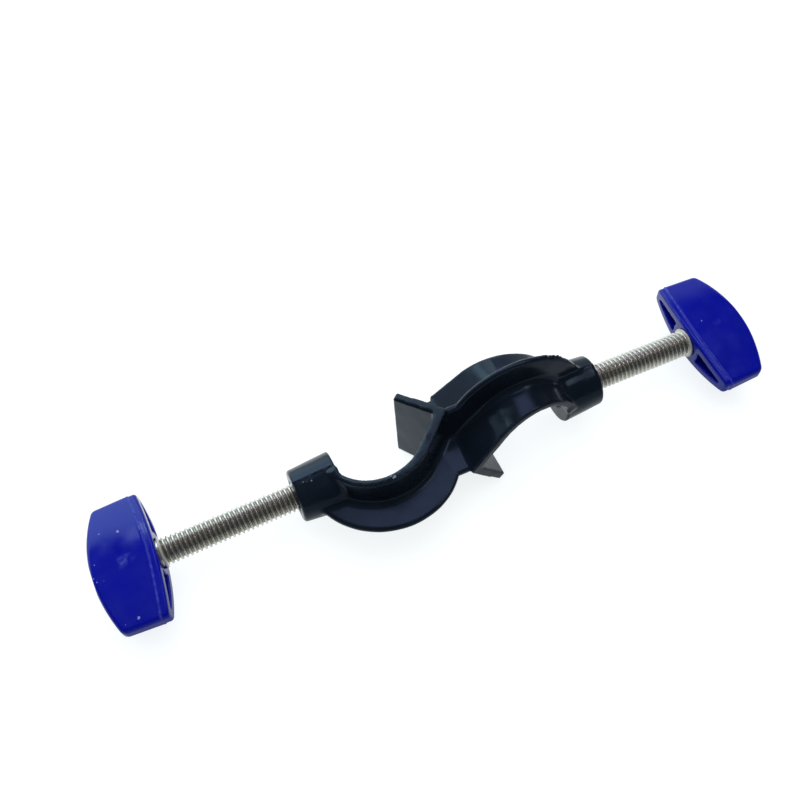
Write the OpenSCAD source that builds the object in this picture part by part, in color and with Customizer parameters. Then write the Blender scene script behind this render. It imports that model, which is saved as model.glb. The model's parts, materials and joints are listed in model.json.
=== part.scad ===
// Boss head clamp: one casting with two rod jaws at right angles, each closed by
// a wing screw. Millimetres. The origin is where the upright rod's axis crosses
// the screw axis: X runs along both screws, Z up along that rod, and the second
// rod lies along Y.

/* [Rod jaws] */
// Distance between the two rod axes, along the screws
rod_spacing = 32; // [30:0.5:35]
// Radius of the rounded side of each jaw
jaw_r = 10.45; // [10:0.05:11.5]
// How far the centre of that rounding lies above the screw axis
jaw_rise = 2.15; // [1.5:0.05:2.5]
// Distance from a rod axis to the flat inner face of its boss
jaw_reach = 9.5; // [9:0.1:10]
// Slope of the straight seat face against the screw axis
seat_angle = 43.3; // [42:0.1:46]
// Slope of the wing's face against the screw axis
wing_angle = 52; // [48:0.5:56]
// Length of the wing's face, from the bottom of the V
wing_l = 9.7; // [8:0.1:11]
// Wall of the wing
wing_wall = 1.75; // [1.5:0.05:2.5]

/* [Bands and ribs] */
// Half of the band's width at the boss
band_half_w = 6.5; // [6:0.1:7]
// Half of the band's width at the middle of the casting
centre_half_w = 10.85; // [10:0.05:12]
// Wall of the band at its edges
edge_wall = 1.65; // [1.4:0.05:1.8]
// Wall of the band beside the rib
root_wall = 2; // [1.9:0.05:2.4]
// Bevel at the foot of the rib, where it meets the band
foot_bevel = 1.1; // [0.5:0.1:1.3]
// Lean of the band's back, which thickens the wall towards the seat
back_lean = 5; // [0:0.5:7]
// Radius of the rib's outer edge
rib_r = 16.6; // [15.5:0.1:17.5]
// How far the rib's rounding is centred past the rod axis
rib_shift = 0.6; // [0:0.1:1]
// Height of the rib's centre above the screw axis
rib_rise = 0.15; // [0:0.05:0.5]
// Thickness of the rib at the band
rib_root_t = 2.6; // [2:0.1:3.2]
// Thickness of the rib at its outer edge
rib_edge_t = 1.4; // [1.2:0.05:1.8]
// Reach of the webs that tie the two arms together, from the screw axis
web_reach = 9.8; // [9:0.1:10.4]
// Share of the wing's length that the web behind it holds
web_hold = 0.6; // [0.3:0.05:0.8]

/* [Bosses] */
// Length of a boss
boss_l = 9.3; // [8:0.1:11]
// Radius of a boss at the jaw
boss_mouth_r = 6.4; // [6:0.05:6.8]
// Radius of a boss at its outer end
boss_end_r = 5.65; // [5:0.05:6]
// Rounding of the boss's outer rim
boss_rim_r = 0.6; // [0.3:0.1:1]
// Radial room round the screw in its tapped hole
tap_clearance = 0.05; // [0.02:0.01:0.1]
// Bevel at the outer end of the tapped hole
tap_bevel = 0.5; // [0.2:0.1:0.8]
// How far the left hole is drilled off square, sideways
left_skew = 0.8; // [0:0.1:2]
// How far the left hole is drilled off square, downwards
left_droop = 0.8; // [0:0.1:2]

/* [Screws] */
// Outside diameter of the thread
thread_d = 5.8; // [5.6:0.1:6.2]
// Advance of the thread for each turn
thread_pitch = 1; // [0.8:0.05:1.2]
// Depth of the thread
thread_depth = 0.5; // [0.4:0.05:0.6]
// Length of a screw from the knob's face to its tip
screw_l = 33; // [30:0.5:36]
// Length of the plain end held in the knob
shank_l = 8; // [6:0.5:10]
// Diameter of the plain shoulder at the knob
shoulder_d = 6.7; // [6.5:0.1:7.4]
// Length of the plain shoulder
shoulder_l = 0.9; // [0.6:0.1:1.6]
// Bevel at the tip
tip_bevel = 0.7; // [0.4:0.1:1]
// How far the left tip stays back from the mouth of its boss
left_setback = 5; // [0.2:0.1:7]
// How far the right tip stays back from the mouth of its boss
right_setback = 0.2; // [0.2:0.1:7]

/* [Knobs] */
// Half of the knob's length
knob_half_l = 14.5; // [12:0.1:16]
// Half of the knob's thickness at the screw
knob_half_t = 4; // [3.7:0.05:4.5]
// Half of the knob's thickness at its ends
knob_end_half_t = 1.9; // [1.2:0.05:2.2]
// Depth of the knob along the screw, at its middle
knob_depth = 13.9; // [12.5:0.1:15]
// Depth of the knob along the screw, at its ends
knob_end_depth = 9.5; // [8.5:0.1:10]
// How far the middle of the knob's face stands in front of its ends
knob_crown = 1.45; // [1:0.05:2]
// Draft of the knob's sides and ends towards its back
knob_draft = 2; // [0.5:0.1:3]
// Wall round the two pockets
pocket_wall = 1.5; // [1.2:0.05:2]
// Floor left behind the pockets
pocket_floor = 2.5; // [1.8:0.1:4]
// Radius of the hub between the pockets
hub_r = 4.1; // [3.9:0.05:4.6]
// Height of the thinner lip along the face
lip_h = 1.8; // [1.4:0.1:2.4]
// Step between the lip and the knob's sides
lip_step = 0.12; // [0.05:0.01:0.2]
// Radial room round the screw's plain end
hub_clearance = 0.03; // [0.02:0.01:0.1]
// Gap between the shoulder and the hub's face
face_gap = 0.05; // [0.03:0.01:0.1]
// How far the left knob sits askew on its screw
left_cant = 3; // [0:0.1:4]
// Turn of the left knob about its screw
left_turn = 1.3; // [-5:0.1:90]
// Turn of the right knob about its screw
right_turn = 5.5; // [-5:0.1:90]

/* [Hidden] */
$fn = 96;

// a cut runs this far past the material it cuts
over = 1;
// longer than any cut has to be
far = 60;
// the straight seat starts this far inside the rounding, and so cuts it cleanly
seat_trim = 0.02;

casting_colour = [0.13, 0.15, 0.2];
screw_colour = [0.75, 0.76, 0.78];
knob_colour = [0.08, 0.22, 0.62];

// the casting looks the same after half a turn about a line through this point
centre_x = rod_spacing / 2;
half_turn_axis = [0, -1, 1];

jaw_centre = [0, jaw_rise];
rib_centre = [rib_shift, rib_rise];

// where the rounding runs into the straight seat, and where that meets the wing
seat_normal = [sin(seat_angle), -cos(seat_angle)];
seat_start = jaw_centre + (jaw_r - seat_trim) * seat_normal;
seat_bottom = [seat_start.x - seat_start.y / tan(seat_angle), 0];
wing_dir = [-cos(wing_angle), sin(wing_angle)];
wing_normal = [sin(wing_angle), cos(wing_angle)];
wing_tip = seat_bottom + wing_l * wing_dir;

// the band starts where its rounding meets the boss, which hides its first face
band_lead = 6;
band_from = 180 + asin(sqrt(jaw_r * jaw_r - jaw_reach * jaw_reach) / jaw_r) - band_lead;
band_to = 270 + seat_angle;
half_w_slope = (centre_half_w - band_half_w) / (jaw_reach + centre_x);
mid_half_w = band_half_w + half_w_slope * jaw_reach;
back_slope = (root_wall - edge_wall) / (mid_half_w - rib_root_t / 2 - foot_bevel);

boss_end_x = -jaw_reach - boss_l;
tap_r = thread_d / 2 + tap_clearance;

// the webs reach this far into the other arm's back
web_overlap = 2.2;

// the thread has this many straight pieces to a turn, and is made with spare
// turns beyond both ends, where it is then cut off
thread_sides = 16;
spare_turns = 2;

// share of a turn that the crest and the root take, and where in a turn the
// thread leaves the root, starts and ends its crest and is back at the root
crest_share = 0.2;
root_share = 0.25;
thread_stations = [root_share / 2, 0.5 - crest_share / 2, 0.5 + crest_share / 2, 1 - root_share / 2];
stations = len(thread_stations);

left_face_x = -jaw_reach - left_setback - screw_l;
right_face_x = rod_spacing + jaw_reach + right_setback + screw_l;

// the knob's three roundings, from their rises over its half length
function arc_radius(half_chord, rise) = (half_chord * half_chord + rise * rise) / (2 * rise);

side_r = arc_radius(knob_half_l, knob_half_t - knob_end_half_t);
face_r = arc_radius(knob_half_l, knob_crown);
back_r = arc_radius(knob_half_l, knob_depth - knob_crown - knob_end_depth);
drawn_in = knob_depth * tan(knob_draft);

// --- casting ---------------------------------------------------------------

// space that a rod takes, seen along the rod
module jaw_outline() {
    mouth = seat_bottom + 2 * wing_l * wing_dir;
    intersection() {
        translate(jaw_centre) circle(r = jaw_r);
        translate([-jaw_reach, -far]) square([2 * far, far + jaw_rise]);
    }
    polygon([
        jaw_centre,
        seat_start,
        seat_bottom,
        mouth,
        [-jaw_reach, mouth.y],
        [-jaw_reach, jaw_rise]
    ]);
}

// wedge that gives band and wing their width
module width_wedge() {
    low_x = -jaw_reach - boss_l;
    high_x = centre_x + centre_half_w;
    low_w = band_half_w - half_w_slope * boss_l;
    high_w = centre_half_w + half_w_slope * centre_half_w;
    rotate([90, 0, 0])
        linear_extrude(2 * far, center = true)
            polygon([[low_x, -low_w], [high_x, -high_w], [high_x, high_w], [low_x, low_w]]);
}

// half of the band's section: a bevel at the rib's foot, then a back that
// slopes down to the edge
module band_section() {
    inner = jaw_r - over;
    back = jaw_r + root_wall;
    past_bevel = rib_root_t / 2 + foot_bevel;
    far_w = 2 * mid_half_w;
    polygon([
        [inner, 0],
        [back + past_bevel, 0],
        [back, past_bevel],
        [back - back_slope * (far_w - past_bevel), far_w],
        [inner, far_w]
    ]);
}

// band with its round and its straight stretch, on one side of the rib
module half_band() {
    straight = norm(seat_bottom - seat_start) + centre_half_w;
    rotate([0, back_lean, 0]) {
        translate(jaw_centre)
            rotate(band_from)
                rotate_extrude(angle = band_to - band_from) band_section();
        translate(jaw_centre)
            rotate(band_to)
                rotate([-90, 0, 0])
                    mirror([0, 1, 0])
                        linear_extrude(straight) band_section();
    }
}

module band() {
    upper = [[-far, 0], [far, 0], [far, far], [-far, far]];
    for (side = [0, 1])
        mirror([0, 0, side])
            intersection() {
                half_band();
                rotate([90, 0, 0]) linear_extrude(2 * far, center = true) polygon(upper);
            }
}

// everything in front of the wing's back, seen along the rod
module wing_side_outline() {
    back = seat_bottom + wing_wall * wing_normal;
    polygon([back + far * wing_dir, back - far * wing_dir, [-far, -far], [-far, far]]);
}

// wing before jaw and back trim it, so that only its end is its own
module wing() {
    linear_extrude(2 * far, center = true)
        polygon([
            seat_bottom - wing_wall * wing_normal,
            wing_tip - wing_wall * wing_normal,
            wing_tip + 2 * wing_wall * wing_normal,
            seat_bottom + 2 * wing_wall * wing_normal
        ]);
}

// rib in the middle of the arm, drafted towards its rounded outer edge
module rib() {
    edge_r = rib_edge_t / 2;
    root_r = jaw_r + root_wall - jaw_rise + rib_rise;
    half_t = rib_root_t / 2;
    draft = (half_t - edge_r) / (rib_r - edge_r - root_r);
    inner_r = jaw_r - jaw_rise;
    inner_half_t = half_t + draft * (root_r - inner_r);
    translate(rib_centre)
        rotate(180)
            rotate_extrude(angle = 180) {
                polygon([
                    [inner_r, -inner_half_t],
                    [rib_r - edge_r, -edge_r],
                    [rib_r - edge_r, edge_r],
                    [inner_r, inner_half_t]
                ]);
                translate([rib_r - edge_r, 0]) circle(r = edge_r);
            }
}

// web in the rib's plane that ties this arm to the back of the other one: it
// carries the rib on below, and holds the wing from behind above
module web() {
    half_t = rib_root_t / 2;
    edge_half_t = rib_edge_t / 2;
    wing_foot = seat_bottom + web_hold * wing_l * wing_dir;
    intersection() {
        linear_extrude(2 * far, center = true)
            polygon([
                [rib_centre.x, 0],
                [rib_centre.x, -web_reach],
                [centre_x + web_overlap, -web_reach],
                [centre_x + web_overlap, web_reach],
                [centre_x - web_overlap, web_reach],
                wing_foot,
                seat_bottom
            ]);
        for (side = [0, 1])
            mirror([0, side, 0])
                rotate([90, 0, 90])
                    linear_extrude(far)
                        polygon([
                            [0, -half_t],
                            [0, half_t],
                            [-web_reach, edge_half_t],
                            [-web_reach, -edge_half_t]
                        ]);
    }
}

module boss() {
    body_l = boss_l - boss_rim_r;
    translate([-jaw_reach, 0, 0])
        rotate([0, -90, 0])
            rotate_extrude() {
                polygon([
                    [0, 0],
                    [boss_mouth_r, 0],
                    [boss_end_r, body_l],
                    [boss_end_r - boss_rim_r, boss_l],
                    [0, boss_l]
                ]);
                translate([boss_end_r - boss_rim_r, body_l]) circle(r = boss_rim_r);
            }
}

// tapped hole with its bevel, cut clear into the jaw
module tapped_hole() {
    run_out = jaw_r / 4;
    translate([-jaw_reach + run_out, 0, 0])
        rotate([0, -90, 0]) cylinder(r = tap_r, h = boss_l + run_out + 2 * over);
    translate([boss_end_x - over, 0, 0])
        rotate([0, 90, 0])
            cylinder(r1 = tap_r + tap_bevel + over, r2 = tap_r, h = tap_bevel + over);
}

// leans its children, the left hole and what turns in it, about the left boss
module off_square() {
    translate([boss_end_x, 0, 0])
        rotate([0, -left_droop, left_skew])
            translate([-boss_end_x, 0, 0]) children();
}

// one arm: boss, band, wing and rib
module arm() {
    difference() {
        union() {
            intersection() {
                union() {
                    band();
                    wing();
                }
                width_wedge();
                linear_extrude(2 * far, center = true) wing_side_outline();
            }
            rib();
            web();
        }
        linear_extrude(2 * far, center = true) jaw_outline();
    }
    boss();
}

// puts its children on the arm that carries the other rod
module on_other_arm() {
    translate([centre_x, 0, 0])
        rotate(180, half_turn_axis)
            translate([-centre_x, 0, 0]) children();
}

module casting() {
    color(casting_colour)
        difference() {
            union() {
                arm();
                on_other_arm() arm();
            }
            off_square() tapped_hole();
            on_other_arm() tapped_hole();
        }
}

// --- screws ----------------------------------------------------------------

// point of the thread after so many straight pieces of its helix
function thread_point(piece, station) =
    let (
        at_crest = station == 1 || station == 2,
        radius = thread_d / 2 - (at_crest ? 0 : thread_depth),
        turn = piece / thread_sides
    )
    [radius * cos(360 * turn), radius * sin(360 * turn), thread_pitch * (turn + thread_stations[station])];

// right-hand thread and its core, up z from the origin, closed by a ramp of one
// turn at each end
module thread(turns) {
    pieces = turns * thread_sides;
    points = [for (piece = [0:pieces], station = [0:stations - 1]) thread_point(piece, station)];
    low_centre = len(points);
    high_centre = low_centre + 1;
    centres = [[0, 0, 0], [0, 0, thread_pitch * (turns + 1)]];
    top = low_centre - 1;
    turn_on = thread_sides * stations;
    flanks_and_crests = [
        for (piece = [0:pieces - 1], station = [0:stations - 2])
            let (a = piece * stations + station)
            each [[a, a + 1, a + 1 + stations], [a, a + 1 + stations, a + stations]]
    ];
    roots = [
        for (piece = [0:pieces - thread_sides - 1])
            let (a = piece * stations + stations - 1, b = piece * stations + turn_on)
            each [[a, b, b + stations], [a, b + stations, a + stations]]
    ];
    ramps = [
        for (a = [0:stations:turn_on - stations])
            each [[low_centre, a, a + stations], [high_centre, top - a, top - a - stations]]
    ];
    low_end = [low_centre, turn_on, for (station = [stations - 1:-1:0]) station];
    high_end = [high_centre, top - turn_on, for (station = [stations - 1:-1:0]) top - station];
    polyhedron(concat(points, centres), concat(flanks_and_crests, roots, ramps, [low_end, high_end]));
}

// screw from its plain end, through the knob's face at z = 0, to its tip; its
// shoulder clears a knob that sits askew by cant
module screw(cant) {
    radius = thread_d / 2;
    shoulder_z = face_gap + shoulder_d / 2 * tan(cant);
    thread_z = shoulder_z + shoulder_l / 2;
    turns = ceil((screw_l - thread_z) / thread_pitch) + 2 * spare_turns;
    color(screw_colour) {
        translate([0, 0, -shank_l]) cylinder(r = radius, h = shank_l + thread_z);
        translate([0, 0, shoulder_z]) cylinder(d = shoulder_d, h = shoulder_l);
        intersection() {
            translate([0, 0, thread_z - spare_turns * thread_pitch]) thread(turns);
            rotate_extrude()
                polygon([
                    [0, thread_z],
                    [radius + over, thread_z],
                    [radius + over, screw_l - tip_bevel - over],
                    [radius - tip_bevel, screw_l],
                    [0, screw_l]
                ]);
        }
    }
}

module left_screw() {
    off_square() translate([left_face_x, 0, 0]) rotate([0, 90, 0]) screw(left_cant);
}

module right_screw() {
    translate([right_face_x, 0, 0]) rotate([0, -90, 0]) screw(0);
}

// --- knobs -----------------------------------------------------------------

// one side of the knob: a wide cone that thins it towards its back
module side_cone(side, inset) {
    radius = side_r - inset;
    translate([0, side * (side_r - knob_half_t), 0])
        cylinder(r1 = radius, r2 = radius - drawn_in, h = knob_depth, $fn = 360);
}

// block between the knob's two sides and ends, thinned all round by inset
module drafted_block(inset) {
    half_l = knob_half_l - inset;
    back_half_l = half_l - drawn_in;
    intersection() {
        side_cone(1, inset);
        side_cone(-1, inset);
        rotate([90, 0, 0])
            linear_extrude(4 * knob_half_t, center = true)
                polygon([
                    [-half_l, 0],
                    [half_l, 0],
                    [back_half_l, knob_depth],
                    [-back_half_l, knob_depth]
                ]);
    }
}

// block under the knob's rounded back, from a face at front, thinned by floor_t
module side_view(front, floor_t) {
    rotate([90, 0, 0])
        linear_extrude(4 * knob_half_t, center = true)
            intersection() {
                translate([0, front + face_r]) circle(r = face_r, $fn = 360);
                translate([0, knob_depth - floor_t - back_r]) circle(r = back_r, $fn = 360);
            }
}

// two pockets in the face, one on each side of the hub
module pockets() {
    half_l = knob_half_l - pocket_wall;
    offset_y = side_r - knob_half_t;
    difference() {
        intersection() {
            translate([0, 0, -2 * over])
                linear_extrude(2 * knob_depth)
                    intersection() {
                        translate([0, offset_y]) circle(r = side_r - pocket_wall, $fn = 360);
                        translate([0, -offset_y]) circle(r = side_r - pocket_wall, $fn = 360);
                        square(2 * half_l, center = true);
                    }
            side_view(-over, pocket_floor);
        }
        translate([0, 0, -2 * over]) cylinder(r = hub_r, h = 2 * knob_depth);
    }
}

// undrilled knob with its face at z = 0 and its length along x
module knob_body() {
    difference() {
        union() {
            intersection() {
                drafted_block(0);
                side_view(lip_h, 0);
            }
            intersection() {
                drafted_block(lip_step);
                side_view(0, 0);
            }
        }
        pockets();
    }
}

// knob with the hole for its screw, on which it sits askew by cant
module knob(cant) {
    color(knob_colour)
        difference() {
            rotate([0, cant, 0]) knob_body();
            translate([0, 0, -over])
                cylinder(r = thread_d / 2 + hub_clearance, h = shank_l + face_gap + over);
        }
}

module left_knob() {
    off_square()
        translate([left_face_x, 0, 0])
            rotate([left_turn - 90, 0, 0]) rotate([0, -90, 0]) knob(left_cant);
}

module right_knob() {
    translate([right_face_x, 0, 0])
        rotate([right_turn - 90, 0, 0]) rotate([0, 90, 0]) knob(0);
}

casting();
left_screw();
right_screw();
left_knob();
right_knob();
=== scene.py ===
"""Looks for the boss head clamp: an enamelled casting, plated screws and moulded knobs."""

import json
import math

import bpy
import numpy as np
from bpy.props import FloatProperty, FloatVectorProperty, IntProperty, PointerProperty
from mathutils import Euler, Matrix, Vector


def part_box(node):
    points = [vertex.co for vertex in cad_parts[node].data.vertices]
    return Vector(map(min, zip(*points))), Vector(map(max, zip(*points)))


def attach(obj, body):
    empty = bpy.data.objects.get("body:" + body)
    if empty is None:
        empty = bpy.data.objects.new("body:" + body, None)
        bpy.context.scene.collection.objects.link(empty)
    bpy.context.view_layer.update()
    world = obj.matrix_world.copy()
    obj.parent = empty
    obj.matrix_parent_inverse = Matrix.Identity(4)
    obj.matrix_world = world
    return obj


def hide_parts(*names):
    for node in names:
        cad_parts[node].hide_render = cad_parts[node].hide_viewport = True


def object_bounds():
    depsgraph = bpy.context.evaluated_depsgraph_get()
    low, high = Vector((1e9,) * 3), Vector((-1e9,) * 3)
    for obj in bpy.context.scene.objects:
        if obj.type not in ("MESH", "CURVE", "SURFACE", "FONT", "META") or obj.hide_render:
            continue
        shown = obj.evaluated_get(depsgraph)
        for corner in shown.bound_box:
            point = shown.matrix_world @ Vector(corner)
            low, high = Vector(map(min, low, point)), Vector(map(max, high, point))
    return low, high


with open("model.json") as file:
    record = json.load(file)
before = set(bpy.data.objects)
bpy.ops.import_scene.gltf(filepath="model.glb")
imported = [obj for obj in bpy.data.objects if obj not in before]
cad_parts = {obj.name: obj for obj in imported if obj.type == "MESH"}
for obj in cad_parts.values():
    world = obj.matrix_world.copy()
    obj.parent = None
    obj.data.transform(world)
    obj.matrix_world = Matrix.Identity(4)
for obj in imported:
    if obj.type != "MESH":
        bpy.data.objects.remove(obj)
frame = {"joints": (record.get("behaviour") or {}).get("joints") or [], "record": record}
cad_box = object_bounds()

bl_info = {
    "name": "Boss head clamp",
    "version": (1, 0, 0),
    "blender": (4, 5, 0),
    "location": "3D View > Sidebar > Clamp",
    "description": "Builds the casting, screws and knobs of a boss head clamp",
    "category": "Add Mesh",
}

MM = 0.001
TINY = 1e-12

# Settling points onto a surface, and finding its edges
SMALL_REACH = 0.02 * MM
LONGEST_MOVE = 0.15 * MM
FLATTEST = 0.05
EDGE_REACH = 0.5 * MM
SHARP_FROM = math.radians(50)

# Casting
ROUND_OFF = 0.001 * MM
HOLE_EDGE = 0.12 * MM
BAND_IN_BOSS = math.radians(6)
RIB_ROUND = 0.32
SEAM_HALF_W = 0.25 * MM
LEAST_SEAM = 0.4
RAGGED_WAVES = ((1.9, 1), (3.7, 2), (7.1, 3))
FLASH_HALF_W = 0.35 * MM
FLASH_START = 6 * MM
FLASH_FULL = 3 * MM
FLASH_END = 2 * MM
FLASH_LIFT = (5 * MM, 8 * MM)

# Screws: flats as shares of the pitch; the thread runs out over 1 / RUN_OUT turns
SCREW_EDGE = 0.12 * MM
CREST_FLAT = 0.2
ROOT_FLAT = 0.25
RUN_OUT = 3.0
FACE_GAP = 0.05 * MM

# Knobs
LIP_SEAM = 0.05 * MM
PARTING_HALF_W = 0.16 * MM
TILT_FROM = 3 * MM
SKEW_ROOM = 0.5 * MM

# Floor: its glow seen straight, and its glow in reflections, painted shade in front of the clamp rising to
# painted light behind it, from one Y to another
FLOOR_GLOW = 0.85
FLOOR_MIRRORED = (0.0, 0.9)
FLOOR_LIT_FROM = (-30 * MM, 15 * MM)

# Room: directions, and angles in degrees
GLOW_FROM = (0.19, 0.37, 0.909)
GLOW_SPREAD = (18, 10)
WINDOW_FROM = (-0.164, 0.771, 0.616)
WINDOW_SPREAD = (37, 10)
WALL_AZIMUTH = (-60, 55)
WALL_LIFT = (-10, 45)
WALL_SOFT = 7

JOINTS = {joint["name"]: joint for joint in frame["joints"]}
ROD_SPACING = frame["record"]["mounts"][1]["pos_m"][0]


def length(name, description, default):
    """A length in metres, given here in millimetres."""
    return FloatProperty(name=name, description=description, default=default * MM, precision=5, unit="LENGTH")


def angle(name, description, default):
    """An angle in radians, given here in degrees."""
    return FloatProperty(name=name, description=description, default=math.radians(default), unit="ROTATION")


def colour(name, description, default):
    return FloatVectorProperty(
        name=name, description=description, default=default, size=3, min=0, max=1, subtype="COLOR"
    )


def power(name, description, default):
    """Power of a lamp in watts."""
    return FloatProperty(name=name, description=description, default=default, precision=3, unit="POWER")


def light(name, description, default):
    """Light of a colour, with 1 for white."""
    return FloatVectorProperty(name=name, description=description, default=default, size=3, min=0)


# --- sizes and colours ---


class CastingSettings(bpy.types.PropertyGroup):
    """Sizes of the casting, which repeat those of the solid, and its enamel."""

    jaw_r: length("Jaw radius", "Radius of the rounded side of each jaw", 10.45)
    jaw_rise: length("Jaw rise", "Height of that rounding's centre above the screw axis", 2.15)
    jaw_reach: length("Jaw reach", "From a rod's axis to the inner face of its boss", 9.5)
    seat_angle: angle("Seat slope", "Slope of the straight seat against the screw axis", 43.3)
    wing_angle: angle("Wing slope", "Slope of the wing against the screw axis", 52)
    wing_l: length("Wing length", "Length of the wing's face", 9.7)
    wing_wall: length("Wing wall", "Wall of the wing", 1.75)
    band_half_w: length("Band half width", "Half of the band's width at the boss", 6.5)
    centre_half_w: length("Middle half width", "Half of the band's width at the middle", 10.85)
    edge_wall: length("Edge wall", "Wall of the band at its edges", 1.65)
    root_wall: length("Root wall", "Wall of the band beside the rib", 2.0)
    back_lean: angle("Back lean", "Lean of the band's back", 5)
    rib_r: length("Rib radius", "Radius of the rib's outer edge", 16.6)
    rib_shift: length("Rib shift", "How far the rib is centred past the rod axis", 0.6)
    rib_rise: length("Rib rise", "Height of the rib's centre above the screw axis", 0.15)
    rib_root_t: length("Rib root", "Thickness of the rib at the band", 2.6)
    rib_edge_t: length("Rib edge", "Thickness of the rib at its outer edge", 1.4)
    web_reach: length("Web reach", "Reach of the webs from the screw axis", 9.8)
    web_overlap: length("Web overlap", "How far the webs run into the other arm", 2.2)
    web_hold: FloatProperty(name="Web hold", description="Share of the wing that a web holds", default=0.6)
    boss_l: length("Boss length", "Length of a boss", 9.3)
    boss_mouth_r: length("Boss mouth", "Radius of a boss at the jaw", 6.4)
    boss_end_r: length("Boss end", "Radius of a boss at its outer end", 5.65)
    boss_rim_r: length("Boss rim", "Rounding of the boss's outer rim", 0.6)
    tap_r: length("Tapped hole", "Radius of the tapped hole", 2.95)
    tap_bevel: length("Tap bevel", "Bevel at the outer end of the hole", 0.5)
    edge_r: length("Edge rounding", "Rounding of the cast edges", 0.3)
    rib_fillet: length("Rib fillet", "Fillet at the foot of the ribs and webs", 1.35)
    corner_fillet: length("Corner fillet", "Fillet in the other inner corners", 0.6)
    boss_fillet: length("Boss fillet", "Fillet where the band runs into the boss", 1.0)
    valley_fillet: length("Valley fillet", "Fillet in the bottom of each V", 0.8)
    seam_h: length("Seam", "Height of the mould seam along the top", 0.16)
    flash_h: length("Flash", "Height of the ragged flash at the end of the rib", 0.6)
    ripple: length("Ripple", "Unevenness of the cast skin", 0.02)
    mesh_step: length("Mesh step", "Spacing of the mesh on the casting", 0.33)
    enamel: colour("Enamel", "Colour of the enamel", (0.0040, 0.0064, 0.0108))
    chip: colour("Chip", "Colour of chips in the enamel", (0.16, 0.18, 0.21))


class ScrewSettings(bpy.types.PropertyGroup):
    """Sizes of the two thumb screws and the colours of their metal."""

    crest_r: length("Crest radius", "Outer radius of the thread", 2.9)
    root_r: length("Root radius", "Radius at the bottom of the thread", 2.4)
    pitch: length("Pitch", "Advance of the thread for each turn", 1.0)
    screw_l: length("Screw length", "From the knob's face to the tip", 33)
    shank_l: length("Shank length", "Plain end held in the knob", 8)
    tip_bevel: length("Tip bevel", "Bevel at the tip", 0.7)
    shoulder_r: length("Shoulder radius", "Radius of the plain shoulder", 3.35)
    shoulder_l: length("Shoulder length", "Length of the plain shoulder", 0.5)
    left_sunk: length("Left shoulder sunk", "How far the left shoulder is sunk in its askew knob", 0.15)
    rings: IntProperty(name="Rings", description="Rings of the mesh for each turn of thread", default=12)
    sides: IntProperty(name="Sides", description="Sides of the mesh round the screw", default=48)
    plate: colour("Plate", "Colour of the zinc plate", (0.9, 0.89, 0.82))
    collar: colour("Collar", "Colour of the dull shoulder", (0.5, 0.5, 0.42))
    # This colour paints shade into the bottom of the thread, as well as grime.
    grime_and_shade: colour("Grime", "Colour at the bottom of the thread", (0.34, 0.325, 0.26))


class KnobSettings(bpy.types.PropertyGroup):
    """Sizes of the knobs and the colours of their plastic."""

    half_l: length("Half length", "Half of the knob's length at its face", 14.5)
    half_t: length("Half thickness", "Half of the knob's thickness at the screw", 4)
    end_half_t: length("End half thickness", "Half of the knob's thickness at its ends", 1.9)
    depth: length("Depth", "Depth of the knob at its middle", 13.9)
    end_depth: length("End depth", "Depth of the knob at its ends", 9.5)
    crown: length("Crown", "How far the face's middle stands in front of its ends", 1.45)
    draft: angle("Draft", "Draft of the sides and ends", 2)
    wall: length("Wall", "Wall round the pockets", 2.15)
    floor: length("Floor", "Floor behind the pockets", 2.5)
    hub_r: length("Hub radius", "Radius of the hub between the pockets", 4.7)
    bore_r: length("Bore", "Radius of the hole for the screw", 2.93)
    bore_l: length("Bore depth", "Depth of that hole", 8.05)
    lip_h: length("Lip height", "Height of the thinner lip along the face", 1.6)
    lip_step: length("Lip step", "Step between lip and sides", 0.12)
    back_edge_r: length("Back edges", "Rounding of the edges at the back", 0.9)
    corner_r: length("Corners", "Rounding of the four upright corners", 1.0)
    face_edge_r: length("Face edge", "Rounding round the face", 0.6)
    edge_r: length("Edges", "Rounding of the other edges", 0.5)
    ripple: length("Ripple", "Unevenness of the moulded sides", 0.012)
    mesh_step: length("Mesh step", "Spacing of the mesh on a knob", 0.21)
    left_turn: angle("Left turn", "Turn of the left knob about its screw", 4.2)
    left_cant: angle("Left cant", "How far the left knob sits askew along its length", 3.6)
    left_tilt: angle("Left tilt", "How far the left knob sits askew across its length", -4.5)
    left_lean: angle("Left lean", "How far the left knob's face leans back at the top", 2.5)
    right_turn: angle("Right turn", "Turn of the right knob about its screw", 6.5)
    right_cant: angle("Right cant", "How far the right knob sits askew along its length", -0.8)
    plastic: colour("Plastic", "Colour of the plastic", (0.002, 0.004, 0.235))
    scuff: colour("Scuff", "Colour of scuffed edges", (0.05, 0.07, 0.42))
    line: colour("Parting line", "Colour of the parting line", (0.1, 0.12, 0.6))
    speck: colour("Speck", "Colour of specks on the plastic", (0.5, 0.52, 0.75))


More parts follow.
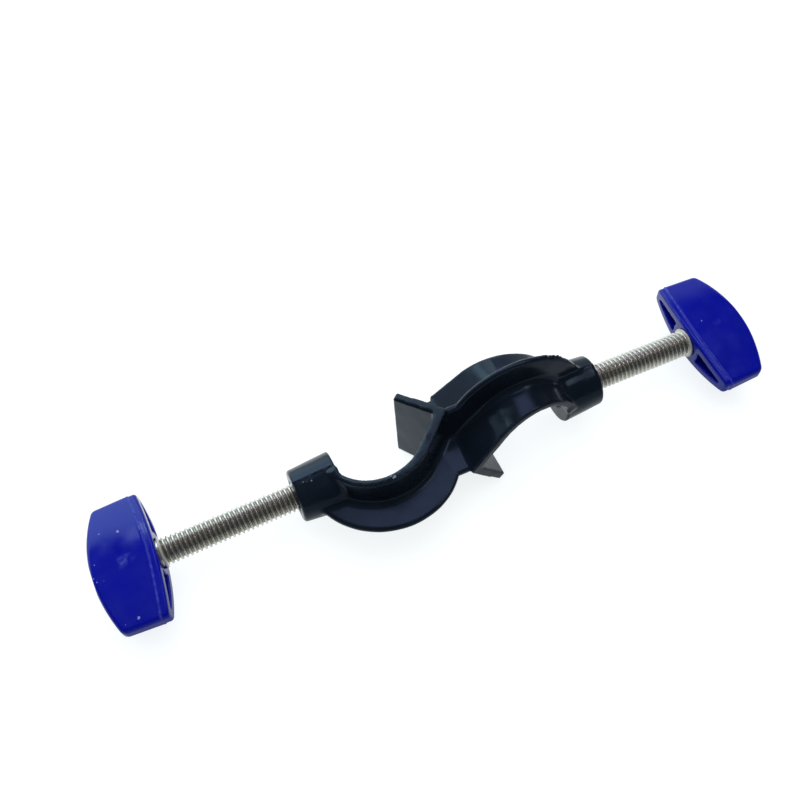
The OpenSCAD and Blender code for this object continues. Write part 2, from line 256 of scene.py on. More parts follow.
class StageSettings(bpy.types.PropertyGroup):
    """Floor, room, lamps and camera."""

    floor_colour: colour("Floor", "Colour of the floor as seen", (0.24, 0.25, 0.25))
    floor_pale: colour("Floor light", "Colour of the light that the floor gives back", (0.9, 0.92, 0.92))
    floor_half: length("Floor half size", "Half of the floor's side", 1500)
    lens: FloatProperty(name="Focal length", description="Lens of the camera in mm", default=48.56)
    shift: FloatVectorProperty(
        name="Lens shift",
        description="Sideways and upward shift of the lens",
        default=(-0.03256, -0.01052),
        size=2,
    )
    place: FloatVectorProperty(
        name="Camera",
        description="Place of the camera",
        default=(-0.035692, -0.118180, 0.190640),
        unit="LENGTH",
    )
    turn: FloatVectorProperty(
        name="Camera turn",
        description="Turn of the camera about X, Y and Z",
        default=tuple(math.radians(a) for a in (36.4485, 1.9309, -24.3761)),
        unit="ROTATION",
    )
    room: light("Room", "Light from all round the room", (0.045, 0.045, 0.05))
    wall: light("Wall", "Light from the pale wall behind the clamp", (0.58, 0.62, 0.66))
    window: light("Window", "Light from the brightest part of that wall", (1.45, 1.75, 2.0))
    glow: light("Glow", "Light from a patch of ceiling above that wall", (0.93, 0.86, 1.3))
    back_lamp: power("Back lamp", "Power of the lamp behind the clamp", 0.09)
    low_lamp: power("Low lamp", "Power of the small low lamp behind the left jaw", 0.038)
    side_lamp: power("Side lamp", "Power of the lamp above the right end", 0.14)
    fill_lamp: power("Fill lamp", "Power of the wide soft lamp above", 20.0)


# How fine each pattern of noise is: its features for each metre
GRAIN = {
    "enamel lumps": 110,
    "enamel wear": 450,
    "enamel gloss": 260,
    "chip": 1800,
    "dull plate": 900,
    "plate skin": 2500,
    "swirl": 120,
    "scuff": 600,
    "parting line": 700,
    "plastic gloss": 300,
    "plastic skin": 260,
    "speck": 2500,
}

# Pale marks on the upper side of each piece: place from the left rod's axis, and radius, in millimetres
MARKS = {
    "left": (
        (-54.0, 5.9, 0.42),
        (-57.6, 7.3, 0.26),
        (-61.1, -1.7, 0.22),
        (-60.7, -2.7, 0.2),
        (-59.4, -3.1, 0.18),
        (-60.2, 0.9, 0.18),
        (-55.4, -12.7, 0.4),
        (-58.3, -12.8, 0.3),
    ),
    "right": ((81.4, 11.2, 0.14), (82.1, 8.2, 0.14), (79.2, 1.2, 0.25)),
    "casting": (
        (0.0, -9.2, 0.55),
        (-0.5, -8.7, 0.3),
        (-16.8, -1.0, 0.22),
        (-16.5, -1.05, 0.18),
        (-15.9, -1.2, 0.2),
        (-15.0, -1.4, 0.24),
    ),
}

# Each lamp: width and length, place, point that it faces, colour and whether reflections show it
LAMPS = {
    "fill_lamp": {
        "size": (1.6, 1.6),
        "place": (0.0, -0.1, 1.3),
        "target": (0.0, 0.0, 0.0),
        "tint": (0.97, 1.0, 1.0),
        "mirrored": False,
    },
    "back_lamp": {
        "size": (0.15, 0.11),
        "place": (-0.025, 0.335, 0.45),
        "target": (-0.025, 0.335, 0.0),
        "tint": (1.0, 1.0, 1.0),
    },
    "low_lamp": {
        "size": (0.08, 0.05),
        "place": (-0.08, 0.15, 0.2),
        "target": (-0.08, 0.15, 0.0),
        "tint": (0.9, 1.0, 1.0),
    },
    "side_lamp": {
        "size": (0.075, 0.29),
        "place": (0.2775, -0.025, 0.45),
        "target": (0.2775, -0.025, 0.0),
        "tint": (1.0, 0.95, 1.0),
    },
}


def mark_share(points, marks):
    """1 at the middle of each mark, falling to 0 at its edge."""
    share = np.zeros(len(points))
    for x, y, radius in marks:
        far = np.hypot(points[:, 0] - x * MM, points[:, 1] - y * MM)
        share = np.maximum(share, 1 - smooth_step(far, 0, 1.4 * radius * MM))
    return share * (points[:, 2] > 0)


# --- solids by distance ---


def fillet(a, b, radius):
    """Distance to two solids together, with a fillet in the corner between them."""
    return np.maximum(radius, np.minimum(a, b)) - np.hypot(
        np.maximum(radius - a, 0), np.maximum(radius - b, 0)
    )


def rounded(a, b, radius):
    """Distance to what two solids share, with the edge between them rounded."""
    return np.minimum(-radius, np.maximum(a, b)) + np.hypot(
        np.maximum(radius + a, 0), np.maximum(radius + b, 0)
    )


def smooth_step(value, low, high):
    """0 up to low, 1 from high on, and smooth between."""
    share = np.clip((value - low) / (high - low), 0, 1)
    return share * share * (3 - 2 * share)


def surface_nets(values, low, step):
    """Closed mesh of the surface where values on a grid change sign."""
    inside = values < 0
    size = np.array(values.shape)
    ends = [slice(0, -1), slice(1, None)]
    count = np.zeros(size - 1, np.int8)
    for i in (0, 1):
        for j in (0, 1):
            for k in (0, 1):
                count += inside[ends[i], ends[j], ends[k]]
    crossed = (count > 0) & (count < 8)
    cells = np.argwhere(crossed)
    index = np.full(size - 1, -1, np.int32)
    index[crossed] = np.arange(len(cells))
    total = np.zeros((len(cells), 3))
    hits = np.zeros(len(cells))
    unit = np.eye(3, dtype=int)
    for axis in range(3):
        u, v = [a for a in range(3) if a != axis]
        for corner in (0 * unit[u], unit[u], unit[v], unit[u] + unit[v]):
            start = cells + corner
            f0 = values[tuple(start.T)]
            f1 = values[tuple((start + unit[axis]).T)]
            cross = (f0 < 0) != (f1 < 0)
            share = np.where(cross, f0 / np.where(cross, f0 - f1, 1), 0)
            total += cross[:, None] * (corner + share[:, None] * unit[axis])
            hits += cross
    points = low + step * (cells + total / hits[:, None])
    faces = []
    for axis in range(3):
        u, v = (axis + 1) % 3, (axis + 2) % 3
        here = [slice(None)] * 3
        here[axis], here[u], here[v] = slice(0, -1), slice(1, -1), slice(1, -1)
        there = list(here)
        there[axis] = slice(1, None)
        after = inside[tuple(there)]
        change = np.argwhere(inside[tuple(here)] != after)
        first = change + unit[u] + unit[v]
        ring = [first - unit[u] - unit[v], first - unit[v], first, first - unit[u]]
        quads = np.stack([index[tuple(cell.T)] for cell in ring], 1)
        flip = after[tuple(change.T)]
        quads[flip] = quads[flip][:, ::-1]
        faces.append(quads)
    return points, np.concatenate(faces)


def slope_of(distance, points, reach):
    """Gradient of a distance function."""
    return np.stack(
        [(distance(points + reach * e) - distance(points - reach * e)) / (2 * reach) for e in np.eye(3)], 1
    )


def settle(points, distance):
    """Moves points onto the surface."""
    points = points.copy()
    for _ in range(3):
        slope = slope_of(distance, points, SMALL_REACH)
        move = -(distance(points) / np.maximum((slope * slope).sum(1), FLATTEST))[:, None] * slope
        far = np.linalg.norm(move, axis=1)
        points += move * np.minimum(1, LONGEST_MOVE / np.maximum(far, TINY))[:, None]
    return points


def mesh_from_distance(distance, low, high, step, slab=24):
    """Points and quads of the surface where distance is zero."""
    xs, ys, zs = [np.arange(a, b + step, step) for a, b in zip(low, high)]
    plane = np.stack(np.meshgrid(ys, zs, indexing="ij"), -1).reshape(-1, 2)
    values = np.empty((len(xs), len(ys), len(zs)))
    for first in range(0, len(xs), slab):
        part = xs[first : first + slab]
        points = np.empty((len(part), len(plane), 3))
        points[:, :, 0] = part[:, None]
        points[:, :, 1:] = plane
        values[first : first + slab] = distance(points.reshape(-1, 3)).reshape(len(part), len(ys), len(zs))
    points, faces = surface_nets(values, np.array([xs[0], ys[0], zs[0]]), step)
    return settle(points, distance), faces


def edge_share(distance, points, reach):
    """How sharply the surface turns at each point: above 0 on edges, below 0 in corners."""
    slope = slope_of(distance, points, SMALL_REACH)
    slope /= np.maximum(np.linalg.norm(slope, axis=1), TINY)[:, None]
    return (distance(points + reach * slope) + distance(points - reach * slope)) / reach


def piece_from(name, mesh, material, body, nodes):
    """Smooth object that rides on a body and stands for CAD nodes."""
    mesh.materials.clear()
    mesh.materials.append(material)
    piece = bpy.data.objects.new(name, mesh)
    bpy.context.scene.collection.objects.link(piece)
    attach(piece, body)
    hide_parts(*nodes)


def smooth_mesh(name, points, faces):
    mesh = bpy.data.meshes.new(name)
    mesh.from_pydata(points.tolist(), [], faces.tolist())
    mesh.validate()
    mesh.shade_smooth()
    return mesh


def keep_value(mesh, name, values):
    """Stores one number for each point of a mesh, for its material to read."""
    attribute = mesh.attributes.new(name, "FLOAT", "POINT")
    attribute.data.foreach_set("value", np.asarray(values, np.float32))


# --- casting ---


def arm_distance(s, x, y, z):
    """Distance to the arm whose rod stands along Z: boss, band, wing, rib and web."""
    seat_along = (math.cos(s.seat_angle), math.sin(s.seat_angle))
    seat_out = (math.sin(s.seat_angle), -math.cos(s.seat_angle))
    seat_y = s.jaw_rise + s.jaw_r * seat_out[1]
    bottom_x = s.jaw_r * seat_out[0] - seat_y / math.tan(s.seat_angle)
    wing_along = (-math.cos(s.wing_angle), math.sin(s.wing_angle))
    wing_out = (math.sin(s.wing_angle), math.cos(s.wing_angle))
    centre_x = ROD_SPACING / 2
    width_slope = (s.centre_half_w - s.band_half_w) / (s.jaw_reach + centre_x)
    middle_half_w = s.band_half_w + width_slope * s.jaw_reach
    back_slope = (s.root_wall - s.edge_wall) / (middle_half_w - s.rib_root_t / 2)
    across = np.hypot(z, ROUND_OFF)

    def past_seat(x, radius):
        """Distance past the jaw's round side and the straight seat that it runs into."""
        rise = y - s.jaw_rise
        along = x * seat_along[0] + rise * seat_along[1]
        out = x * seat_out[0] + rise * seat_out[1]
        return np.where(along > 0, out, np.where(rise < 0, np.hypot(x, rise), np.abs(x))) - radius

    past_wing = (x - bottom_x) * wing_out[0] + y * wing_out[1]
    up_wing = (x - bottom_x) * wing_along[0] + y * wing_along[1]
    rod_space = rounded(past_seat(x, s.jaw_r), past_wing, s.valley_fillet)
    rod_space = rounded(rod_space, -(x + s.jaw_reach), s.edge_r)

    lean_x = x * math.cos(s.back_lean) - across * math.sin(s.back_lean)
    lean_z = x * math.sin(s.back_lean) + across * math.cos(s.back_lean)
    back_r = s.jaw_r + s.root_wall + back_slope * (s.rib_root_t / 2 - lean_z)
    back = past_seat(lean_x, back_r) / math.hypot(1, back_slope)
    start = math.pi + math.acos(s.jaw_reach / s.jaw_r) - BAND_IN_BOSS
    before = x * math.sin(start) - (y - s.jaw_rise) * math.cos(start)
    wing_back = past_wing - s.wing_wall
    side = (across - s.band_half_w - width_slope * (x + s.jaw_reach)) / math.hypot(1, width_slope)
    band = rounded(np.maximum(back, before), wing_back, s.corner_fillet)
    wing = rounded(np.maximum(wing_back, -up_wing - s.wing_wall), up_wing - s.wing_l, s.edge_r)
    wing = np.maximum(wing, -past_wing - s.wing_wall)
    plate = rounded(fillet(band, wing, s.corner_fillet), side, s.edge_r)

    radius = np.hypot(x - s.rib_shift, y - s.rib_rise)
    edge_half_t = s.rib_edge_t / 2
    root_half_t = s.rib_root_t / 2
    root_radius = s.jaw_r + s.root_wall - s.jaw_rise + s.rib_rise
    draft = (root_half_t - edge_half_t) / (s.rib_r - edge_half_t - root_radius)
    rib = (across - root_half_t + draft * (radius - root_radius)) / math.hypot(1, draft)
    rib = np.maximum(rounded(rib, radius - s.rib_r, RIB_ROUND * s.rib_edge_t), y - s.rib_rise)
    draft = (root_half_t - edge_half_t) / s.web_reach
    web = (across - root_half_t + draft * np.abs(y)) / math.hypot(1, draft)
    foot = (bottom_x + s.web_hold * s.wing_l * wing_along[0], s.web_hold * s.wing_l * wing_along[1])
    run = Vector((centre_x - s.web_overlap - foot[0], s.web_reach - foot[1])).normalized()
    above = (y - foot[1]) * run.x - (x - foot[0]) * run.y
    web = rounded(web, np.maximum(np.abs(y) - s.web_reach, above), RIB_ROUND * s.rib_edge_t)
    web = np.maximum(web, np.maximum(s.rib_shift - x, x - centre_x - s.web_overlap))
    arm = rounded(fillet(plate, np.minimum(rib, web), s.rib_fillet), -rod_space, s.edge_r)

    out = -x - s.jaw_reach
    taper = (s.boss_mouth_r - s.boss_end_r) / (s.boss_l - s.boss_rim_r)
    boss = (np.hypot(y, z) - s.boss_mouth_r + taper * out) / math.hypot(1, taper)
    boss = rounded(rounded(boss, out - s.boss_l, s.boss_rim_r), -out, s.edge_r)
    return fillet(arm, boss, s.boss_fillet)


def hole_distance(s, points, axis):
    """Distance to the tapped hole, whose axis points from the left boss's end into its jaw."""
    inward = points - np.array([-s.jaw_reach - s.boss_l, 0, 0])
    along = inward @ np.array(axis)
    radius = np.linalg.norm(inward - along[:, None] * np.array(axis), axis=1)
    bevel = (radius - s.tap_r - s.tap_bevel + along) / math.sqrt(2)
    return np.maximum(np.minimum(radius - s.tap_r, bevel), along - s.boss_l - s.tap_r)


def ragged(along, seed):
    """Uneven height, from 0 to 1, of flash along an edge."""
    waves = [np.sin(along * rate / MM + seed * phase) for rate, phase in RAGGED_WAVES]
    return np.clip(0.5 + 0.25 * sum(waves), 0, 1)


def casting_distance(s):
    """Distance function of the whole casting."""
    left_axis = JOINTS["left_feed"]["axis"]
    rib_end_x = ROD_SPACING + s.jaw_reach

    def distance(points):
        x, y, z = points.T
        solid = fillet(arm_distance(s, x, y, z), arm_distance(s, ROD_SPACING - x, -z, -y), s.corner_fillet)
        seam = s.seam_h * np.exp(-((y / SEAM_HALF_W) ** 2)) * (z > 0)
        on_boss = smooth_step(-x, s.jaw_reach, s.jaw_reach + MM) + smooth_step(x, rib_end_x, rib_end_x + MM)
        seam *= on_boss * (LEAST_SEAM + (1 - LEAST_SEAM) * ragged(x, 1))
        flash = s.flash_h * np.exp(-((y / FLASH_HALF_W) ** 2)) * ragged(x, 5)
        flash *= smooth_step(x, rib_end_x - FLASH_START, rib_end_x - FLASH_FULL)
        flash *= smooth_step(-x, -rib_end_x - FLASH_END, -rib_end_x) * smooth_step(z, *FLASH_LIFT)
        waves = np.sin(x * 0.9 / MM + 1) * np.sin(y * 1.1 / MM) * np.sin(z * 1.0 / MM + 2)
        solid = solid - seam - flash - s.ripple * waves
        for hole in (
            hole_distance(s, points, left_axis),
            hole_distance(s, np.stack([ROD_SPACING - x, -z, -y], 1), (1, 0, 0)),
        ):
            solid = rounded(solid, -hole, HOLE_EDGE)
        return solid

    return distance


# --- screws ---


class Tree:
    """Adds nodes to a node tree and links them."""

    def __init__(self, tree):
        self.nodes = tree.nodes
        self.links = tree.links

    def add(self, kind, inputs=None, **settings):
        node = self.nodes.new(kind)
        for name, value in settings.items():
            setattr(node, name, value)
        for key, value in (inputs or {}).items():
            if isinstance(value, bpy.types.NodeSocket):
                self.links.new(value, node.inputs[key])
            else:
                node.inputs[key].default_value = value
        return node

    def math(self, operation, *values):
        return self.add("ShaderNodeMath", dict(enumerate(values)), operation=operation).outputs[0]


def ramp(t, value, low, high, to_low=0.0, to_high=1.0, **settings):
    """Value carried from one range to another, and held at its ends."""
    inputs = {"Value": value, "From Min": low, "From Max": high, "To Min": to_low, "To Max": to_high}
    return t.add("ShaderNodeMapRange", inputs, **settings).outputs["Result"]


THREAD_INPUTS = ("Crest radius", "Root radius", "Pitch", "Length", "Tip bevel", "Shoulder end")


def thread_tree(s, material):
    """Geometry nodes for a right-hand thread that runs up Z from the knob's face."""
    tree = bpy.data.node_groups.new("Thread", "GeometryNodeTree")
    tree.is_modifier = True
    for name in THREAD_INPUTS:
        socket = tree.interface.new_socket(name, in_out="INPUT", socket_type="NodeSocketFloat")
        socket.subtype = "DISTANCE"
    for name in ("Rings", "Sides"):
        tree.interface.new_socket(name, in_out="INPUT", socket_type="NodeSocketInt")
    tree.interface.new_socket("Geometry", in_out="OUTPUT", socket_type="NodeSocketGeometry")
    t = Tree(tree)
    given = t.add("NodeGroupInput").outputs
    rod = t.add(
        "GeometryNodeMeshCylinder",
        {
            "Vertices": given["Sides"],
            "Side Segments": given["Rings"],
            "Radius": given["Crest radius"],
            "Depth": given["Length"],
        },
        fill_type="NGON",
    )
    lift = t.add("ShaderNodeCombineXYZ", {"Z": t.math("DIVIDE", given["Length"], 2.0)})
    lifted = t.add("GeometryNodeTransform", {"Geometry": rod.outputs["Mesh"], "Translation": lift.outputs[0]})
    place = t.add("ShaderNodeSeparateXYZ", {0: t.add("GeometryNodeInputPosition").outputs[0]}).outputs
    turn = t.math("DIVIDE", t.math("ARCTAN2", place["Y"], place["X"]), math.tau)
    phase = t.math("FRACT", t.math("SUBTRACT", t.math("DIVIDE", place["Z"], given["Pitch"]), turn))
    from_crest = t.math("MULTIPLY", t.math("ABSOLUTE", t.math("SUBTRACT", phase, 0.5)), 2.0)
    sunk = ramp(t, from_crest, CREST_FLAT, 1 - ROOT_FLAT, interpolation_type="SMOOTHSTEP")
    clear = t.math("DIVIDE", t.math("SUBTRACT", place["Z"], given["Shoulder end"]), given["Pitch"])
    clear = t.add("ShaderNodeClamp", {"Value": t.math("MULTIPLY", clear, RUN_OUT)}).outputs[0]
    depth = t.math("SUBTRACT", given["Crest radius"], given["Root radius"])
    sunk = t.math("MULTIPLY", depth, t.math("MULTIPLY", sunk, clear))
    radius = t.math("SUBTRACT", given["Crest radius"], sunk)
    to_tip = t.math("SUBTRACT", given["Length"], place["Z"])
    tip = t.math("ADD", t.math("SUBTRACT", given["Crest radius"], given["Tip bevel"]), to_tip)
    scale = t.math("DIVIDE", t.math("MINIMUM", radius, tip), given["Crest radius"])
    moved = t.add(
        "GeometryNodeSetPosition",
        {
            "Geometry": lifted.outputs[0],
            "Position": t.add(
                "ShaderNodeCombineXYZ",
                {
                    "X": t.math("MULTIPLY", place["X"], scale),
                    "Y": t.math("MULTIPLY", place["Y"], scale),
                    "Z": place["Z"],
                },
            ).outputs[0],
        },
    )
    real = t.add("GeometryNodeRealizeInstances", {0: moved.outputs[0]})
    dressed = t.add("GeometryNodeSetMaterial", {"Geometry": real.outputs[0], "Material": material})
    t.links.new(dressed.outputs[0], t.add("NodeGroupOutput").inputs[0])
    return tree


def thread_mesh(s, tree, start):
    """Mesh of the threaded rod, from inside the shoulder to the tip."""
    host = bpy.data.objects.new("thread_host", bpy.data.meshes.new("thread_host"))
    bpy.context.scene.collection.objects.link(host)
    modifier = host.modifiers.new("Thread", "NODES")
    modifier.node_group = tree
    values = {
        "Crest radius": s.crest_r,
        "Root radius": s.root_r,
        "Pitch": s.pitch,
        "Length": s.screw_l - start,
        "Tip bevel": s.tip_bevel,
        "Shoulder end": s.shoulder_l / 2,
        "Rings": round((s.screw_l - start) / s.pitch * s.rings),
        "Sides": s.sides,
    }
    for socket in tree.interface.items_tree:
        if socket.in_out == "INPUT":
            modifier[socket.identifier] = values[socket.name]
    graph = bpy.context.evaluated_depsgraph_get()
    mesh = bpy.data.meshes.new_from_object(host.evaluated_get(graph))
    mesh.transform(Matrix.Translation((0, 0, start)))
    host.modifiers.remove(modifier)
    bpy.data.objects.remove(host)
    return mesh


def vertex_places(mesh):
    places = np.empty(3 * len(mesh.vertices))
    mesh.vertices.foreach_get("co", places)
    return places.reshape(-1, 3)


def thread_depth(s, places):
    """0 on the crest of the thread and on plain stretches, 1 at the bottom of the thread; the zinc is
    darkened by it as grime and painted shade.
    """
    x, y, z = places.T
    depth = np.clip((s.crest_r - np.hypot(x, y)) / (s.crest_r - s.root_r), 0, 1)
    return depth * (z < s.screw_l - s.tip_bevel)


def turned_mesh(name, profile, sides):
    """Closed solid of revolution about Z from (radius, z) pairs that start and end on the axis."""
    points = [(0, 0, profile[0][1])]
    faces = []
    for radius, z in profile[1:-1]:
        for i in range(sides):
            a = math.tau * i / sides
            points.append((radius * math.cos(a), radius * math.sin(a), z))
    points.append((0, 0, profile[-1][1]))
    rows = len(profile) - 2
    for i in range(sides):
        j = (i + 1) % sides
        faces.append((0, 1 + j, 1 + i))
        for row in range(rows - 1):
            a, b = 1 + row * sides, 1 + (row + 1) * sides
            faces.append((a + i, a + j, b + j, b + i))
        last = 1 + (rows - 1) * sides
        faces.append((last + i, last + j, len(points) - 1))
    mesh = bpy.data.meshes.new(name)
    mesh.from_pydata(points, [], faces)
    mesh.validate()
    mesh.shade_smooth()
    return mesh


def joined(name, *meshes):
    """One mesh made of several."""
    points = []
    faces = []
    for mesh in meshes:
        first = len(points)
        points += [tuple(v.co) for v in mesh.vertices]
        faces += [tuple(first + i for i in face.vertices) for face in mesh.polygons]
    whole = bpy.data.meshes.new(name)
    whole.from_pydata(points, [], faces)
    whole.validate()
    whole.shade_smooth()
    whole.set_sharp_from_angle(angle=SHARP_FROM)
    return whole


# --- knobs ---


def bulge_radius(half_chord, rise):
    """Radius of an arc that rises by so much over its half chord."""
    return (half_chord * half_chord + rise * rise) / (2 * rise)


def knob_places(s, askew, points):
    """Places along, across and in from an askew knob's face, and how far each lies behind that face."""
    cant, tilt, lean = askew
    x = points[:, 0] * math.cos(cant) - points[:, 2] * math.sin(cant)
    z = points[:, 0] * math.sin(cant) + points[:, 2] * math.cos(cant) - TILT_FROM
    y = points[:, 1] * math.cos(tilt) + z * math.sin(tilt)
    z = TILT_FROM - points[:, 1] * math.sin(tilt) + z * math.cos(tilt)
    face_r = bulge_radius(s.half_l, s.crown)
    return x, y, z, face_r - np.hypot(x, z - face_r) - (s.half_t - y) * math.tan(lean)


def knob_distance(s, askew):
    """Distance function of a knob whose face is at z = 0, with its length along X."""
    side_r = bulge_radius(s.half_l, s.half_t - s.end_half_t)
    back_r = bulge_radius(s.half_l, s.depth - s.crown - s.end_depth)
    draft = math.tan(s.draft)

    def outline(x, y, z, inset, drawn_in, radius):
        """Distance past the knob's two sides and two ends."""
        centre = side_r - s.half_t
        sides = np.hypot(x, np.abs(y) + centre) - side_r + inset + drawn_in * z
        ends = np.abs(x) - s.half_l + inset + drawn_in * z
        return rounded(sides, ends, radius) * math.cos(s.draft)

    def distance(points):
        x, y, z, behind = knob_places(s, askew, points)
        back = np.hypot(x, z - s.depth + back_r) - back_r
        in_lip = 1 - smooth_step(behind, s.lip_h - LIP_SEAM, s.lip_h + LIP_SEAM)
        seam = np.exp(-(((behind - s.lip_h) / SEAM_HALF_W) ** 2))
        waves = s.ripple * (np.sin(0.8 * x / MM + 1) + np.sin(0.9 * z / MM) * np.sin(0.5 * x / MM))
        body = outline(x, y, z, s.lip_step * in_lip - LIP_SEAM * seam, draft, s.corner_r) + waves
        body = rounded(body, back, s.back_edge_r)
        body = rounded(body, -behind, s.face_edge_r)
        pocket = outline(x, y, z, s.wall, 0, s.edge_r)
        pocket = rounded(pocket, np.hypot(x, z - s.depth + s.floor + back_r) - back_r, s.back_edge_r)
        pocket = rounded(pocket, s.hub_r - np.hypot(x, y), s.edge_r)
        knob = rounded(body, -pocket, s.edge_r / 2)
        bore = np.maximum(np.hypot(points[:, 0], points[:, 1]) - s.bore_r, points[:, 2] - s.bore_l)
        return rounded(knob, -bore, s.edge_r / 3)

    return distance


def parting_share(s, askew, points):
    """1 along the parting line behind a knob's lip, falling to 0 beside it."""
    x, y, _, behind = knob_places(s, askew, points)
    outside = np.hypot(x, y) > s.hub_r + s.edge_r
    line = np.exp(-(((behind - s.lip_h) / PARTING_HALF_W) ** 2))
    return outside * line * (LEAST_SEAM + (1 - LEAST_SEAM) * ragged(x, 2))


# --- materials ---


def new_material(name, colour, **sockets):
    """Material with one Principled shader whose uniform values are set on its own sockets."""
    material = bpy.data.materials.new(name)
    material.use_nodes = True
    shader = material.node_tree.nodes["Principled BSDF"]
    shader.inputs["Base Color"].default_value = (*colour, 1)
    for socket, value in sockets.items():
        shader.inputs[socket.replace("_", " ")].default_value = value
    material.diffuse_color = (*colour, 1)
    return material, Tree(material.node_tree), shader


def noise(t, scale, detail=3.0, stretch=(1, 1, 1)):
    """Noise on the piece's own coordinates, with features 1 / scale metres wide."""
    place = t.add("ShaderNodeTexCoord").outputs["Object"]
    if stretch != (1, 1, 1):
        place = t.add("ShaderNodeMapping", {"Vector": place, "Scale": stretch}).outputs[0]
    return t.add("ShaderNodeTexNoise", {"Vector": place, "Scale": scale, "Detail": detail}).outputs["Fac"]


def mixed(t, share, first, second):
    """Colour between two colours, each a socket or three numbers."""
    first, second = [c if isinstance(c, bpy.types.NodeSocket) else (*c, 1) for c in (first, second)]
    return t.add("ShaderNodeMix", {0: share, 6: first, 7: second}, data_type="RGBA").outputs[2]


def kept(t, name):
    """Number that the mesh keeps for each point."""
    return t.add("ShaderNodeAttribute", attribute_name=name).outputs["Fac"]


def marked(t, scale):
    """Share of the piece's marks, with ragged outlines."""
    rough_edge = ramp(t, noise(t, scale), 0.25, 0.75, -0.3, 0.3)
    return ramp(t, t.math("ADD", kept(t, "mark"), rough_edge), 0.4, 0.65)


def bumpy(t, height, strength, depth):
    """Normal of a surface that a pattern lifts by up to so many metres."""
    return t.add("ShaderNodeBump", {"Height": height, "Strength": strength, "Distance": depth}).outputs[0]


def enamel_material(s):
    """Glossy stoved enamel over a cast skin: a slight orange peel, thin and worn on the edges, and paler
    there as a painted highlight.
    """
    material, t, shader = new_material("dark_enamel", s.enamel, IOR=1.47, Specular_Tint=(0.52, 0.75, 1, 1))
    lumps = noise(t, GRAIN["enamel lumps"], 1.0)
    patches = ramp(t, noise(t, GRAIN["enamel wear"]), 0.35, 0.65)
    # Paler enamel along the edges, in patches: partly wear, partly painted highlight.
    edge_wear_and_highlight = t.math("MULTIPLY", ramp(t, kept(t, "edge"), 0.15, 0.7), patches)
    worn_and_highlit = tuple(min(1, 2 * c + 0.012) for c in s.enamel)
    cloudy = mixed(t, ramp(t, lumps, 0.35, 0.7), s.enamel, tuple(1.5 * c for c in s.enamel))
    chipped = marked(t, GRAIN["chip"])
    t.links.new(mixed(t, chipped, mixed(t, edge_wear_and_highlight, cloudy, worn_and_highlit), s.chip), shader.inputs["Base Color"])
    rough = ramp(t, noise(t, GRAIN["enamel gloss"]), 0.3, 0.7, 0.14, 0.26)
    dull_edge = ramp(t, kept(t, "edge"), 0.1, 0.5, 0.0, 0.3)
    t.links.new(t.math("ADD", rough, dull_edge), shader.inputs["Roughness"])
    t.links.new(bumpy(t, lumps, 0.8, 0.12 * MM), shader.inputs["Normal"])
    return material


def zinc_material(s):
    """Bright zinc plate with a fine skin, dull patches, and grime and painted shade deep in the thread."""
    material, t, shader = new_material("zinc_steel", s.plate)
    dull = noise(t, GRAIN["dull plate"], 4.0)
    clean = mixed(t, ramp(t, dull, 0.35, 0.7), s.plate, tuple(0.8 * c for c in s.plate))
    # Darker deep in the thread: grime and painted shade.
    metal = mixed(t, kept(t, "depth"), clean, s.grime_and_shade)
    t.links.new(mixed(t, kept(t, "collar"), metal, s.collar), shader.inputs["Base Color"])
    t.links.new(ramp(t, kept(t, "collar"), 0, 1, 0.92, 0.5), shader.inputs["Metallic"])
    t.links.new(ramp(t, dull, 0.3, 0.7, 0.14, 0.28), shader.inputs["Roughness"])
    skin = noise(t, GRAIN["plate skin"], 2.0)
    t.links.new(bumpy(t, skin, 0.2, 0.03 * MM), shader.inputs["Normal"])
    return material


def plastic_material(s):
    """Glossy moulded plastic with faint swirls, scuffs on its edges and pale specks."""
    material, t, shader = new_material("blue_plastic", s.plastic, IOR=1.48, Specular_Tint=(0.65, 0.85, 1, 1))
    swirl = noise(t, GRAIN["swirl"], 4.0)
    deep = mixed(t, ramp(t, swirl, 0.35, 0.65), s.plastic, tuple(1.12 * c for c in s.plastic))
    patches = ramp(t, noise(t, GRAIN["scuff"]), 0.4, 0.7)
    scuffed = t.math("MULTIPLY", ramp(t, kept(t, "edge"), 0.2, 0.9), patches)
    colour_now = mixed(t, t.math("MULTIPLY", scuffed, 0.6), deep, s.scuff)
    paleness = ramp(t, noise(t, GRAIN["parting line"]), 0.35, 0.6, 0.15, 0.5)
    colour_now = mixed(t, t.math("MULTIPLY", kept(t, "parting"), paleness), colour_now, s.line)
    specks = t.math("MULTIPLY", marked(t, GRAIN["speck"]), 0.4)
    colour_now = mixed(t, specks, colour_now, s.speck)
    t.links.new(colour_now, shader.inputs["Base Color"])
    rough = ramp(t, noise(t, GRAIN["plastic gloss"]), 0.3, 0.7, 0.1, 0.2)
    t.links.new(t.math("ADD", rough, t.math("MULTIPLY", scuffed, 0.25)), shader.inputs["Roughness"])
    skin = noise(t, GRAIN["plastic skin"], 3.0)
    t.links.new(bumpy(t, skin, 0.12, 0.1 * MM), shader.inputs["Normal"])
    return material


# --- operators ---


def turned(by, axis):
    """Matrix that turns by an angle in radians about an axis through the origin."""
    return Matrix.Rotation(by, 4, axis)


def screw_frame(side):
    """Matrix to a screw's place from a frame whose X axis lies along the screw."""
    joint = JOINTS[side + "_turn"]
    inward = Vector(joint["axis"])
    along = inward if side == "left" else -inward
    turn = Vector((1, 0, 0)).rotation_difference(along).to_matrix().to_4x4()
    return Matrix.Translation(joint["pos_m"]) @ turn


def points_moved(matrix, points):
    rotation = np.array(matrix.to_3x3())
    return points @ rotation.T + np.array(matrix.translation)


